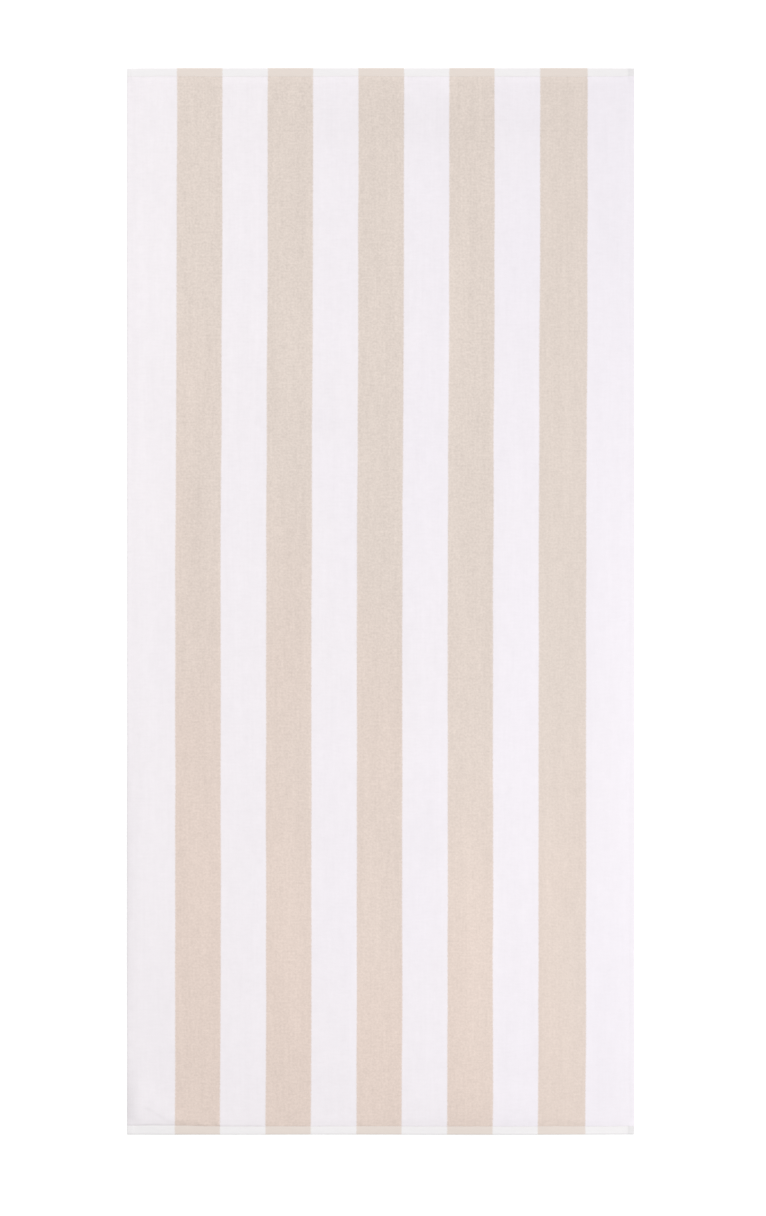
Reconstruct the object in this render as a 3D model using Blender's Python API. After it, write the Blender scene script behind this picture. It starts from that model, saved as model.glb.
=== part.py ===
"""A beach towel laid out flat: one sheet of cut-pile cotton with turned hems on its four sides.

Metres, +Z up. X runs across the towel and Y along it. The underside lies on z = 0,
and the origin is the middle of the towel on that plane.
"""

import bpy
import numpy as np

# Driving dimensions
WIDTH = 0.760  # across the stripes
LENGTH = 1.600  # along the stripes
PILE_THICK = 0.0030  # ground cloth with its pile standing
HEM_THICK = 0.0024  # flat cloth turned twice
SIDE_HEM = 0.0070  # width of the hems along the two long sides
END_HEM = 0.0125  # width of the hems across the two ends
CORNER_THICK = 0.0032  # where a side hem is folded into an end hem

# The sewn line between a hem and the pile
SEAM_THICK = 0.0019  # the cloth that the stitches draw together
SEAM_HALF = 0.0010  # half the width of the dip on the hem's side
PILE_RISE = 0.0025  # run over which the pile stands up again beside the dip

# A corner is drawn in by a hair by its layers
CORNER_DRAW = 0.0003
CORNER_REACH = 0.030

# Lengthwise stripes, an odd number so that both outer ones are white
STRIPE_COUNT = 11
OUTER_STRIPE = 0.0735

# Spacing of the surface's points
COLUMNS_PER_STRIPE = 3
FOLD_TURN = 45  # degrees round the hem's fold to its one point between edge and flat
ROW_STEP = 0.032
END_ROW_STEP = 0.016  # closer rows near the ends, where the ripples are narrower
END_REACH = 0.112  # length of that stretch, from the end hem's pile

# Where the cloth doesn't quite lie down: soft ridges, each named by its place.
# Columns: centre x and y, turn of the crest from +X in degrees, half length, half width, height
RIPPLES = {
    "front left corner": (-0.345, -0.762, -24.0, 0.085, 0.042, 0.0016),
    "left side, front half": (-0.362, -0.440, 90.0, 0.300, 0.062, 0.0026),
    "right side, middle": (0.352, -0.120, 90.0, 0.420, 0.074, 0.0032),
    "right side, far end": (0.368, 0.610, 84.0, 0.130, 0.052, 0.0024),
    "far end": (0.070, 0.752, 3.0, 0.290, 0.070, 0.0030),
    "left side, far half": (-0.356, 0.420, 97.0, 0.210, 0.064, 0.0022),
    "near end": (0.150, -0.764, -4.0, 0.200, 0.060, 0.0026),
    "across the front half": (0.020, -0.290, 5.0, 0.330, 0.105, 0.0020),
    "across the far half": (-0.060, 0.330, -7.0, 0.280, 0.110, 0.0020),
}

# Finishes
WHITE_PILE = (0.880, 0.846, 0.872, 1.0)
SAND_PILE = (0.760, 0.654, 0.590, 1.0)
PILE_ROUGHNESS = 0.92


def clear_scene():
    """Removes the objects that the scene starts with."""
    for old in list(bpy.data.objects):
        bpy.data.objects.remove(old)


def stripe_edges():
    """Positions across the towel where one stripe ends and the next begins, edge to edge."""
    inner = np.linspace(OUTER_STRIPE - WIDTH / 2, WIDTH / 2 - OUTER_STRIPE, STRIPE_COUNT - 1)
    return np.concatenate([[-WIDTH / 2], inner, [WIDTH / 2]])


def hem_profile(hem):
    """Section through a hem: insets from the edge, with the heights of the top and the underside.

    The edge is a half round as thick as the hem. The top then runs flat to the sewn
    line, dips there and rises to the pile. The underside stays on z = 0.
    """
    fold = HEM_THICK / 2
    lean = np.sin(np.radians(FOLD_TURN))
    section = np.array(
        [
            # inset, top, underside
            (0, fold, fold),
            (fold * (1 - lean), fold * (1 + lean), fold * (1 - lean)),
            (fold, HEM_THICK, 0),
            (hem - SEAM_HALF, HEM_THICK, 0),
            (hem, SEAM_THICK, 0),
            (hem + PILE_RISE, PILE_THICK, 0),
        ]
    )
    return section.T


def lines_across(half, hem, inner):
    """Positions of the grid lines between -half and half: both hems' sections and inner between them.

    Returns the positions, the heights of the top and the underside at them, and
    1 on the flat of a hem or 0 elsewhere.
    """
    inset, top, under = hem_profile(hem)
    on_hem = (top == HEM_THICK).astype(float)
    middle = np.full(len(inner), PILE_THICK)
    place = np.concatenate([inset - half, inner, half - inset[::-1]])
    tops = np.concatenate([top, middle, top[::-1]])
    unders = np.concatenate([under, 0 * middle, under[::-1]])
    hems = np.concatenate([on_hem, 0 * middle, on_hem[::-1]])
    return place, tops, unders, hems


def column_places():
    """Grid columns between the side hems: every stripe edge, with even steps between them."""
    edges = stripe_edges()
    edges[0] += SIDE_HEM + PILE_RISE
    edges[-1] -= SIDE_HEM + PILE_RISE
    steps = np.arange(STRIPE_COUNT * COLUMNS_PER_STRIPE + 1) / COLUMNS_PER_STRIPE
    places = np.interp(steps, np.arange(STRIPE_COUNT + 1), edges)
    return places[1:-1]


def row_places():
    """Grid rows between the end hems, closer together near both ends."""
    start = LENGTH / 2 - END_HEM - PILE_RISE
    bend = start - END_REACH
    near_end = np.linspace(bend, start, round(END_REACH / END_ROW_STEP) + 1)
    middle = np.linspace(-bend, bend, round(2 * bend / ROW_STEP) + 1)
    return np.concatenate([-near_end[:0:-1], middle, near_end[1:]])[1:-1]


def bump(s):
    """A smooth hump of height 1 at s = 0 that meets zero, level, at s = -1 and s = 1."""
    return np.clip(1 - s * s, 0, None) ** 2


def lift(x, y):
    """Height of the underside above the surface: the sum of the ripples, and zero between them."""
    height = np.zeros(np.broadcast(x, y).shape)
    for centre_x, centre_y, turn, half_length, half_width, rise in RIPPLES.values():
        along_x = np.cos(np.radians(turn))
        along_y = np.sin(np.radians(turn))
        along = (x - centre_x) * along_x + (y - centre_y) * along_y
        across = (y - centre_y) * along_x - (x - centre_x) * along_y
        height = height + rise * bump(along / half_length) * bump(across / half_width)
    return height


def drawn_in(x, y):
    """How far each point moves towards the middle, in X and Y, where the corners are drawn in."""
    near_side = np.clip(1 - (WIDTH / 2 - np.abs(x)) / CORNER_REACH, 0, 1) ** 2
    near_end = np.clip(1 - (LENGTH / 2 - np.abs(y)) / CORNER_REACH, 0, 1) ** 2
    pull = CORNER_DRAW * near_side * near_end
    return -np.sign(x) * pull, -np.sign(y) * pull


def triangles(number, falling):
    """Two triangles for each cell of a grid of point numbers, facing up.

    The diagonal of a falling cell runs from its upper left to its lower right point.
    """
    low_left, low_right = number[:-1, :-1], number[:-1, 1:]
    up_left, up_right = number[1:, :-1], number[1:, 1:]
    first = np.where(
        falling[..., None],
        np.stack([low_left, low_right, up_left], -1),
        np.stack([low_left, low_right, up_right], -1),
    )
    second = np.where(
        falling[..., None],
        np.stack([low_right, up_right, up_left], -1),
        np.stack([low_left, up_right, up_left], -1),
    )
    return np.stack([first, second], 2).reshape(-1, 3)


def towel_mesh():
    """The towel as one closed surface: a top and an underside that share the points of the edge."""
    x, top_x, under_x, hem_x = lines_across(WIDTH / 2, SIDE_HEM, column_places())
    y, top_y, under_y, hem_y = lines_across(LENGTH / 2, END_HEM, row_places())
    across, along = np.meshgrid(x, y)
    raised = lift(across, along)
    folded_in = (CORNER_THICK - HEM_THICK) * np.outer(hem_y, hem_x)
    top = np.minimum(top_x, top_y[:, None]) + folded_in + raised
    under = np.maximum(under_x, under_y[:, None]) + raised
    move_x, move_y = drawn_in(across, along)
    plan_x, plan_y = across + move_x, along + move_y

    rows, columns = across.shape
    inside = (slice(1, -1), slice(1, -1))
    top_number = np.arange(rows * columns).reshape(rows, columns)
    under_number = top_number.copy()
    hidden = (rows - 2) * (columns - 2)
    under_number[inside] = rows * columns + np.arange(hidden).reshape(rows - 2, columns - 2)

    upper = np.stack([plan_x, plan_y, top], -1).reshape(-1, 3)
    lower = np.stack([plan_x, plan_y, under], -1)[inside].reshape(-1, 3)
    # Every corner cell is split from its outer point, so that no two faces coincide there
    mid_x = (x[:-1] + x[1:]) / 2
    mid_y = (y[:-1] + y[1:]) / 2
    falling = np.outer(mid_y, mid_x) < 0
    faces_up = triangles(top_number, falling)
    faces_down = triangles(under_number, falling)[:, ::-1]

    mesh = bpy.data.meshes.new("towel")
    points = np.concatenate([upper, lower])
    faces = np.concatenate([faces_up, faces_down])
    mesh.from_pydata(points.tolist(), [], faces.tolist())
    # Both triangles of a cell take its stripe's colour, row by row on the top and then the underside
    stripe = np.searchsorted(stripe_edges(), mid_x) - 1
    coloured = np.tile(np.repeat(stripe % 2, 2), 2 * (rows - 1))
    mesh.polygons.foreach_set("material_index", coloured.astype(np.int32))
    mesh.update()
    return mesh


def pile_material(name, colour):
    """Matt cotton pile of one colour."""
    material = bpy.data.materials.new(name)
    material.use_nodes = True
    shader = material.node_tree.nodes["Principled BSDF"]
    shader.inputs["Base Color"].default_value = colour
    shader.inputs["Roughness"].default_value = PILE_ROUGHNESS
    shader.inputs["Metallic"].default_value = 0.0
    material.diffuse_color = colour
    return material


def make_towel():
    """The one piece of cloth, with its white and sand stripes."""
    mesh = towel_mesh()
    mesh.materials.append(pile_material("white pile", WHITE_PILE))
    mesh.materials.append(pile_material("sand pile", SAND_PILE))
    mesh.shade_smooth()
    towel = bpy.data.objects.new("towel", mesh)
    bpy.context.scene.collection.objects.link(towel)
    return towel


clear_scene()
make_towel()
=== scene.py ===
# %% [markdown]
# # A striped beach towel, laid out flat
# A beach towel is one length of terry: a thin ground cloth with loops of soft yarn on both
# faces. On the face that shows, the loops are sheared off, which leaves the dense, matt pile
# called velour. The four edges are turned under twice and sewn. The two ends are woven
# without pile for that, so their hems lie flat.
#
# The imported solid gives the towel's size, its hems and the soft ripples in which it lies.
# This lesson keeps all of that and adds what an eye close by would find: the round of each
# fold, the dip along each row of stitches, the stitches themselves, the ragged edge of the
# pile, and the finish of the pile, of the loops on the back and of the flat hems.

import bpy
import numpy as np
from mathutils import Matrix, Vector


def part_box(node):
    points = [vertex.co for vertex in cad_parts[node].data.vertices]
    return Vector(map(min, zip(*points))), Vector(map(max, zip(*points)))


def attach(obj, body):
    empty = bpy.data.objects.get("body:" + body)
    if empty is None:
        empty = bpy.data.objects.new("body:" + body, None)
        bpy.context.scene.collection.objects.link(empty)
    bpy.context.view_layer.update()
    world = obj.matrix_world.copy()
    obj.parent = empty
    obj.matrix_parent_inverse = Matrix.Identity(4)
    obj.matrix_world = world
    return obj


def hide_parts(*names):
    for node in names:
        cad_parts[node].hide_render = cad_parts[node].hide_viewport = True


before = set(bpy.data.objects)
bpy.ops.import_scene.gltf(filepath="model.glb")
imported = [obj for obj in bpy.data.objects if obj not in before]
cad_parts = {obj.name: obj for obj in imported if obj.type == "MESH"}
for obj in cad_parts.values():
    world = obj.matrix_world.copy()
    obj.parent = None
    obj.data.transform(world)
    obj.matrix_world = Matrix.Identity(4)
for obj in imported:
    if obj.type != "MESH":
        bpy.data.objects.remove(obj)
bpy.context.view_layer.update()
low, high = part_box("towel")
WIDTH = high[0] - low[0]
LENGTH = high[1] - low[1]
print(f"frame: {WIDTH:.3f} m across the stripes, {LENGTH:.3f} m along them")

# %% [markdown]
# ## The camera
# The picture was taken from straight above. Where the towel's edges lie in the picture gives
# the size of a pixel on the towel, and the lens then gives the height. A long lens keeps the
# edges straight and parallel, as they are in the picture.

# %% Camera
PHOTO_WIDE, PHOTO_TALL = 766, 1216
TOWEL_LEFT, TOWEL_RIGHT = 126.95, 634.60  # pixels from the left
TOWEL_TOP, TOWEL_FOOT = 67.80, 1134.60  # pixels from the top
LENS = 0.100
SENSOR = 0.036  # on the picture's long side
CLOTH_TOP = 0.003

pixel = LENGTH / (TOWEL_FOOT - TOWEL_TOP)
camera_x = (PHOTO_WIDE - TOWEL_LEFT - TOWEL_RIGHT) / 2 * pixel
camera_y = (TOWEL_TOP + TOWEL_FOOT - PHOTO_TALL) / 2 * pixel
camera_z = CLOTH_TOP + PHOTO_TALL * pixel * LENS / SENSOR

scene = bpy.context.scene
camera_data = bpy.data.cameras.new("camera")
camera_data.lens = LENS * 1000
camera_data.sensor_width = SENSOR * 1000
camera_data.clip_end = 100
camera = bpy.data.objects.new("camera", camera_data)
camera.location = (camera_x, camera_y, camera_z)
scene.collection.objects.link(camera)
scene.camera = camera
print(f"camera: {pixel * 1000:.3f} mm a pixel, {camera_z:.2f} m up")

# %% [markdown]
# ## How the towel lies
# A hemmed towel never lies quite flat: the hems are a little tighter or looser than the cloth
# between them, so the edges lift in long low waves, and a corner that was turned back keeps a
# ripple. These are the solid's own ripples, each a smooth hump along a short crest, and
# between them the underside is flat on the floor.

# %% Ripples
# Columns: centre x and y, turn of the crest from +X in degrees, half length, half width, height
RIPPLES = {
    "front left corner": (-0.345, -0.762, -24.0, 0.085, 0.042, 0.0016),
    "left side, front half": (-0.362, -0.440, 90.0, 0.300, 0.062, 0.0026),
    "right side, middle": (0.352, -0.120, 90.0, 0.420, 0.074, 0.0032),
    "right side, far end": (0.368, 0.610, 84.0, 0.130, 0.052, 0.0024),
    "far end": (0.070, 0.752, 3.0, 0.290, 0.070, 0.0030),
    "left side, far half": (-0.356, 0.420, 97.0, 0.210, 0.064, 0.0022),
    "near end": (0.150, -0.764, -4.0, 0.200, 0.060, 0.0026),
    "across the front half": (0.020, -0.290, 5.0, 0.330, 0.105, 0.0020),
    "across the far half": (-0.060, 0.330, -7.0, 0.280, 0.110, 0.0020),
}


def hump(s):
    """(1 - s squared) squared between -1 and 1, and zero outside: height 1, level where it ends."""
    return np.clip(1 - s * s, 0, None) ** 2


def ridges(x, y, table):
    """Height of a table of ridges: the sum of a hump along and a hump across for each."""
    height = np.zeros(np.broadcast(x, y).shape)
    for centre_x, centre_y, turn, half_length, half_width, rise in table.values():
        along_x = np.cos(np.radians(turn))
        along_y = np.sin(np.radians(turn))
        along = (x - centre_x) * along_x + (y - centre_y) * along_y
        across = (y - centre_y) * along_x - (x - centre_x) * along_y
        height = height + rise * hump(along / half_length) * hump(across / half_width)
    return height


print(f"ripples: {len(RIPPLES)}, the highest {max(row[-1] for row in RIPPLES.values()) * 1000:.1f} mm")

# %% [markdown]
# On the ripples lie smaller creases, a quarter of a millimetre or so high: where the front
# left corner had been turned back, and where the hems pull. They are made in the same way,
# with their own list.

# %% Creases
CREASES = {
    "front left, down the side": (-0.361, -0.722, -68.0, 0.050, 0.010, 0.00030),
    "front left, round the corner": (-0.333, -0.762, -36.0, 0.042, 0.009, 0.00030),
    "front left, beside the hem": (-0.296, -0.776, -14.0, 0.036, 0.007, 0.00022),
    "front left, at the edge": (-0.374, -0.727, -38.0, 0.020, 0.008, 0.00035),
    "front left, low on the edge": (-0.374, -0.769, -20.0, 0.022, 0.007, 0.00035),
    "near hem, left part": (-0.300, -0.7785, 0.0, 0.110, 0.007, 0.0003),
    "near hem, middle": (0.020, -0.7770, 2.0, 0.150, 0.009, 0.0003),
    "near hem, right part": (0.260, -0.7780, -1.5, 0.090, 0.008, 0.0003),
    "far hem, right part": (0.270, 0.7740, 2.0, 0.130, 0.012, 0.0003),
    "far hem, left part": (-0.190, 0.7750, -1.0, 0.140, 0.011, 0.0003),
}
print(f"creases: {len(CREASES)}, the highest {max(row[-1] for row in CREASES.values()) * 1000:.2f} mm")

# %% [markdown]
# ## The section of a hem
# The edge is a fold, so it is a half round as thick as the hem. Inwards from it the hem runs
# nearly flat to the row of stitches, which draws the layers together in a narrow dip. Behind
# the dip the pile stands up, quickly at first and then in a long soft shoulder. The side
# hems keep their pile and are sewn loosely, so their dip hardly shows. The near end was sewn
# tightest, most of all at its left. A function of the distances from the stitches gives the
# section all round. At a corner the side hem is folded into the end hem, which is thicker
# there.

# %% Section
PILE_THICK = 0.0030
HEM_THICK = 0.0024
CORNER_THICK = 0.0032
SIDE_HEM = 0.0070
END_HEM = 0.0125
SIDE_DIP, END_DIP = 0.00002, 0.00015  # how deep the stitches draw in
NEAR_LEFT_PULL, NEAR_RIGHT_PULL, FAR_PULL = 1.0, 0.4, 0.2  # shares of END_DIP
SEAM_WIDE = 0.0009  # half the width of the dip
PILE_RISE = 0.0025
SHOULDER = 0.0110  # run over which the pile reaches its whole height
SIDE_QUICK, END_QUICK = 0.08, 0.12  # share of the rise that is over by PILE_RISE
HEM_CROWN = 0.00006  # how much fuller a hem is in the middle of its width
FOLD = HEM_THICK / 2
CORNER_SOFT = 0.0035  # run over which the side hem's layers show through the end hem


def step_up(s):
    """0 below 0, 1 above 1, and the S curve 3 s squared - 2 s cubed between them."""
    s = np.clip(s, 0, 1)
    return s * s * (3 - 2 * s)


def dip(distance, wide):
    """A bell of height 1: e to the minus (distance / wide) squared."""
    return np.exp(-((distance / wide) ** 2))


def fold_round(inset):
    """Half the section of a fold: the square root of 1 - (1 - inset / FOLD) squared, and 1 behind it."""
    return np.sqrt(1 - np.clip(1 - inset / FOLD, 0, 1) ** 2)


def hem_flat(inset, hem):
    """Thickness of a hem, a little fuller in the middle of its width."""
    return HEM_THICK + HEM_CROWN * hump(2 * inset / hem - 1)


def pile_share(from_seam, quick):
    """0 on the hem and 1 on the open pile, in a quick S curve and then a long soft one."""
    return quick * step_up(from_seam / PILE_RISE) + (1 - quick) * step_up(from_seam / SHOULDER)


def thickness(side_seam, end_seam, pull=1.0):
    """Thickness of the cloth from the distances inwards from the side and the end stitches.

    pull is the share of the whole dip that the end stitches draw in.
    """
    side_pile = pile_share(side_seam, SIDE_QUICK)
    end_pile = pile_share(end_seam, END_QUICK)
    along_side = hem_flat(side_seam + SIDE_HEM, SIDE_HEM) * (1 - side_pile) + PILE_THICK * side_pile
    along_side = along_side - SIDE_DIP * dip(side_seam, SEAM_WIDE)
    layers = 1 - step_up(side_seam / CORNER_SOFT)
    along_end = hem_flat(end_seam + END_HEM, END_HEM) + (CORNER_THICK - HEM_THICK) * layers
    thick = along_side * end_pile + along_end * (1 - end_pile)
    return thick - END_DIP * pull * dip(end_seam, SEAM_WIDE)


for title, inwards in (("hem", -END_HEM / 2), ("seam", 0.0), ("pile", 2 * SHOULDER)):
    print(f"section: {title} {thickness(0.2, inwards) * 1000:.2f} mm thick")

# %% [markdown]
# ## Hand-made unevenness
# Sewing is never perfectly even. The outline wanders by a few tenths of a millimetre, the hem
# puckers between stitches, and the nap of the pile is brushed a little higher here and lower
# there. Random numbers on an even lattice, joined by the same S curve as above, give such a
# wander. The seed is fixed, so the towel is the same every time.

# %% Wander
WANDER_REACH = 2.0  # no place is further than this from the middle, in metres


def on_lattice(s, step):
    """The lattice cell that each s lies in, counted from -WANDER_REACH, and the share across it."""
    place = (s + WANDER_REACH) / step
    cell = np.floor(place).astype(int)
    return cell, step_up(place - cell)


def wander(s, step, seed):
    """A smooth random line between -1 and 1, with a new value every step along s."""
    cell, share = on_lattice(s, step)
    values = np.random.default_rng(seed).uniform(-1, 1, round(2 * WANDER_REACH / step) + 2)
    return values[cell] + (values[cell + 1] - values[cell]) * share


def patches(x, y, step, seed):
    """A smooth random surface between -1 and 1 on a square lattice of points step apart."""
    c, across = on_lattice(x, step)
    r, along = on_lattice(y, step)
    side = round(2 * WANDER_REACH / step) + 2
    values = np.random.default_rng(seed).uniform(-1, 1, (side, side))
    near = values[r, c] + (values[r, c + 1] - values[r, c]) * across
    far = values[r + 1, c] + (values[r + 1, c + 1] - values[r + 1, c]) * across
    return near + (far - near) * along


def edge_wander(x, y, steps, seed):
    """Wander along the sides and along the ends: steps for left, right, near and far, and a seed each."""
    side = np.where(x < 0, wander(y, steps[0], seed), wander(y, steps[1], seed + 1))
    end = np.where(y < 0, wander(x, steps[2], seed + 2), wander(x, steps[3], seed + 3))
    return side, end


sample = wander(np.linspace(0, 1, 200), 0.05, 1)
print(f"wander: from {sample.min():.2f} to {sample.max():.2f} over a metre")

# %% [markdown]
# ## Where each point of the cloth lies
# A point is named by its place on the flat towel. Three functions say where it ends up: one
# moves it in plan, one adds the puckers beside a seam, and one gives the heights of the face
# and the back. The stitches and the pile's edge use the same three, so they stay on the cloth.

# %% Places
CORNER_DRAW, CORNER_REACH = 0.0003, 0.030
SIDE_FULLER = 0.0004  # how far the side folds bulge past the solid's
EDGE_WANDER, EDGE_REACH = 0.00018, 0.060
EDGE_WANDER_STEPS = (0.11, 0.13, 0.12, 0.09)  # left, right, near and far
SEAM_WANDER, SEAM_WANDER_STEPS = 0.0005, 4 * (0.045,)
NEAR_STEADY = 0.5  # the near seam wanders by this share only
# It runs closer to the edge than the others, but further in up to the bend near its left end
NEAR_NARROWER, NEAR_LEFT_WIDER = 0.0004, 0.0014
NEAR_BEND_FROM, NEAR_BEND_TO = -0.30, -0.25
PULL_UNEVEN, PULL_STEP = 0.6, 0.034  # how unevenly the end stitches draw in
PUCKER, PUCKER_STEPS, PUCKER_REACH = 0.00022, 4 * (0.014,), 0.006
EDGE_SEED, PUCKER_SEED, NAP_SEED, SEAM_SEED, PULL_SEED = 1, 5, 9, 10, 14
NAP, NAP_STEP, NAP_START = 0.00016, 0.043, 0.02
LIP, LIP_INSET, LIP_WIDE = 0.0005, 0.0014, 0.0007  # the hem's inner edge, seen on the back
BACK_DIP = 0.0006  # depth of the sewn dip on the back


def insets(x, y):
    """Distances in from the nearest side and from the nearest end."""
    return WIDTH / 2 - np.abs(x), LENGTH / 2 - np.abs(y)


def seams(x, y):
    """Distances inwards from the side stitches and the end stitches, whose lines wander a little."""
    from_side, from_end = insets(x, y)
    side, end = edge_wander(x, y, SEAM_WANDER_STEPS, SEAM_SEED)
    past_bend = step_up((x - NEAR_BEND_FROM) / (NEAR_BEND_TO - NEAR_BEND_FROM))
    near_wider = NEAR_LEFT_WIDER * (1 - past_bend) - NEAR_NARROWER
    wider = SEAM_WANDER * end * np.where(y < 0, NEAR_STEADY, 1) + near_wider * (y < 0)
    return from_side - SIDE_HEM - SEAM_WANDER * side, from_end - END_HEM - wider


def plan(x, y):
    """Where a point of the flat towel lies: corners drawn in, and edges that wander a little."""
    from_side, from_end = insets(x, y)
    near_side = np.clip(1 - from_side / CORNER_REACH, 0, 1) ** 2
    near_end = np.clip(1 - from_end / CORNER_REACH, 0, 1) ** 2
    pull = CORNER_DRAW * near_side * near_end
    side, end = edge_wander(x, y, EDGE_WANDER_STEPS, EDGE_SEED)
    side_move = (SIDE_FULLER + EDGE_WANDER * side) * (1 - step_up(from_side / EDGE_REACH))
    end_move = EDGE_WANDER * (end - 1) * (1 - step_up(from_end / EDGE_REACH))
    return x + np.sign(x) * (side_move - pull), y + np.sign(y) * (end_move - pull)


def puckers(x, y):
    """Small ups and downs of a hem along its seam, fading out to both sides of it."""
    from_side, from_end = insets(x, y)
    beside_side = dip(from_side - SIDE_HEM / 2, PUCKER_REACH)
    beside_end = dip(from_end - END_HEM / 2, PUCKER_REACH)
    side, end = edge_wander(x, y, PUCKER_STEPS, PUCKER_SEED)
    return PUCKER * (side * beside_side * (1 - beside_end) + end * beside_end)


def heights(x, y):
    """Heights of the face and of the back over the floor: the ripples' lift, half the thickness
    above and half below, drawn together by the folds, and the nap and the back's grooves."""
    from_side, from_end = insets(x, y)
    side_seam, end_seam = seams(x, y)
    near_pull = NEAR_LEFT_PULL + (NEAR_RIGHT_PULL - NEAR_LEFT_PULL) * step_up(x / WIDTH + 0.5)
    pull = np.where(y < 0, near_pull, FAR_PULL) * (1 + PULL_UNEVEN * wander(x, PULL_STEP, PULL_SEED))
    half = (thickness(side_seam, end_seam, pull) + puckers(x, y)) / 2
    rounded = fold_round(from_side) * fold_round(from_end)
    on_pile = step_up(side_seam / NAP_START) * step_up(end_seam / NAP_START)
    lips = np.maximum(dip(side_seam - LIP_INSET, LIP_WIDE), dip(end_seam - LIP_INSET, LIP_WIDE))
    dips = np.maximum(dip(side_seam, SEAM_WIDE), dip(end_seam, SEAM_WIDE))
    middle = ridges(x, y, RIPPLES) + ridges(x, y, CREASES) + half
    face = middle + half * rounded + NAP * on_pile * patches(x, y, NAP_STEP, NAP_SEED)
    back = middle - half * rounded + (LIP * lips + BACK_DIP * dips) * rounded
    return face, back


corner_x, corner_y = plan(WIDTH / 2, LENGTH / 2)
print(f"places: a corner lies at {corner_x * 1000:.1f}, {corner_y * 1000:.1f} mm")

# %% [markdown]
# ## The cloth as one closed grid
# The cloth is one closed sheet. The grid's lines lie close together across the fold and the
# dip, where the section turns fast, and 6 mm apart in the middle. The face and the back are
# two such grids, and a narrow rim of quads joins them all round, so no seam is left open.

# %% Grid lines
FOLD_STEPS, FLAT_STEPS, SEAM_STEPS, SHOULDER_STEPS = 6, 4, 8, 3
SEAM_REACH = 0.0022  # how far before the seam the close lines start
FIRST_TURN = 6.0  # degrees round the fold at the outermost line, which leaves the narrow rim
GRID_STEP = 0.0064


def hem_lines(hem):
    """Distances from the edge at which grid lines run: even turns round the fold, then even steps."""
    turn = np.linspace(np.radians(FIRST_TURN), np.pi / 2, FOLD_STEPS + 1)
    fold = FOLD * (1 - np.cos(turn))
    flat = np.linspace(FOLD, hem - SEAM_REACH, FLAT_STEPS + 1)[1:]
    seam = np.linspace(hem - SEAM_REACH, hem + PILE_RISE, SEAM_STEPS + 1)[1:]
    shoulder = np.linspace(hem + PILE_RISE, hem + SHOULDER, SHOULDER_STEPS + 1)[1:]
    return np.concatenate([fold, flat, seam, shoulder])


def grid_lines(half, hem):
    """Places of all the grid lines from -half to half."""
    edge = hem_lines(hem)
    reach = half - edge[-1]
    middle = np.linspace(-reach, reach, round(2 * reach / GRID_STEP) + 1)[1:-1]
    return np.concatenate([edge - half, middle, (half - edge)[::-1]])


columns = grid_lines(WIDTH / 2, SIDE_HEM)
rows = grid_lines(LENGTH / 2, END_HEM)
flat_x, flat_y = np.meshgrid(columns, rows)
print(f"grid: {len(columns)} columns by {len(rows)} rows")

# %% [markdown]
# UV maps go with the mesh. "laid_flat" holds a point's place on the flat towel, in metres, so
# that stripes and weave follow the cloth. "from_seams" holds its distances inwards from the
# side and the end stitches. "OFBake" spreads the piece over the unit square with nothing on
# top of anything else, for a finish that is painted into a picture.

# %% Mesh helper
def new_piece(name, points, faces, maps, finishes, slots=None):
    """A smooth mesh object at the origin.

    faces is a list of arrays, one for each number of corners. maps gives for each UV map
    a place for every corner of every face, in the order of the faces.
    """
    mesh = bpy.data.meshes.new(name)
    mesh.from_pydata(points.tolist(), [], [face for kind in faces for face in kind.tolist()])
    for title, places in maps.items():
        mesh.uv_layers.new(name=title).data.foreach_set("uv", places.ravel())
    for finish in finishes:
        mesh.materials.append(finish)
    if slots is not None:
        mesh.polygons.foreach_set("material_index", slots.astype(np.int32))
    mesh.shade_smooth()
    mesh.validate()
    piece = bpy.data.objects.new(name, mesh)
    scene.collection.objects.link(piece)
    triangles = sum(len(polygon.vertices) - 2 for polygon in mesh.polygons)
    print(f"{name}: {triangles} triangles")
    return piece


# %% Cloth surface
BAKE_SCALE = 0.61  # of the unit square for each metre of cloth
FACE_MIDDLE, BACK_MIDDLE = (0.25, 0.5), (0.75, 0.5)  # side by side on that square
HAIR = 1e-7  # less than the space between any two grid lines
VELOUR, TERRY, HEM = range(3)  # the cloth's material slots


def unrolled(place, half):
    """Distance from the middle along the surface, which runs round the fold at the edge."""
    inset = half - np.abs(place)
    round_fold = FOLD * (np.arccos(np.clip(1 - inset / FOLD, 0, 1)) - np.pi / 2)
    return np.sign(place) * (half - np.maximum(inset, FOLD) - round_fold)


def cell_corners(grid):
    """What a grid holds at the four corners of every cell, turning left as seen from above."""
    return np.stack([grid[:-1, :-1], grid[:-1, 1:], grid[1:, 1:], grid[1:, :-1]], 2)


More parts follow.
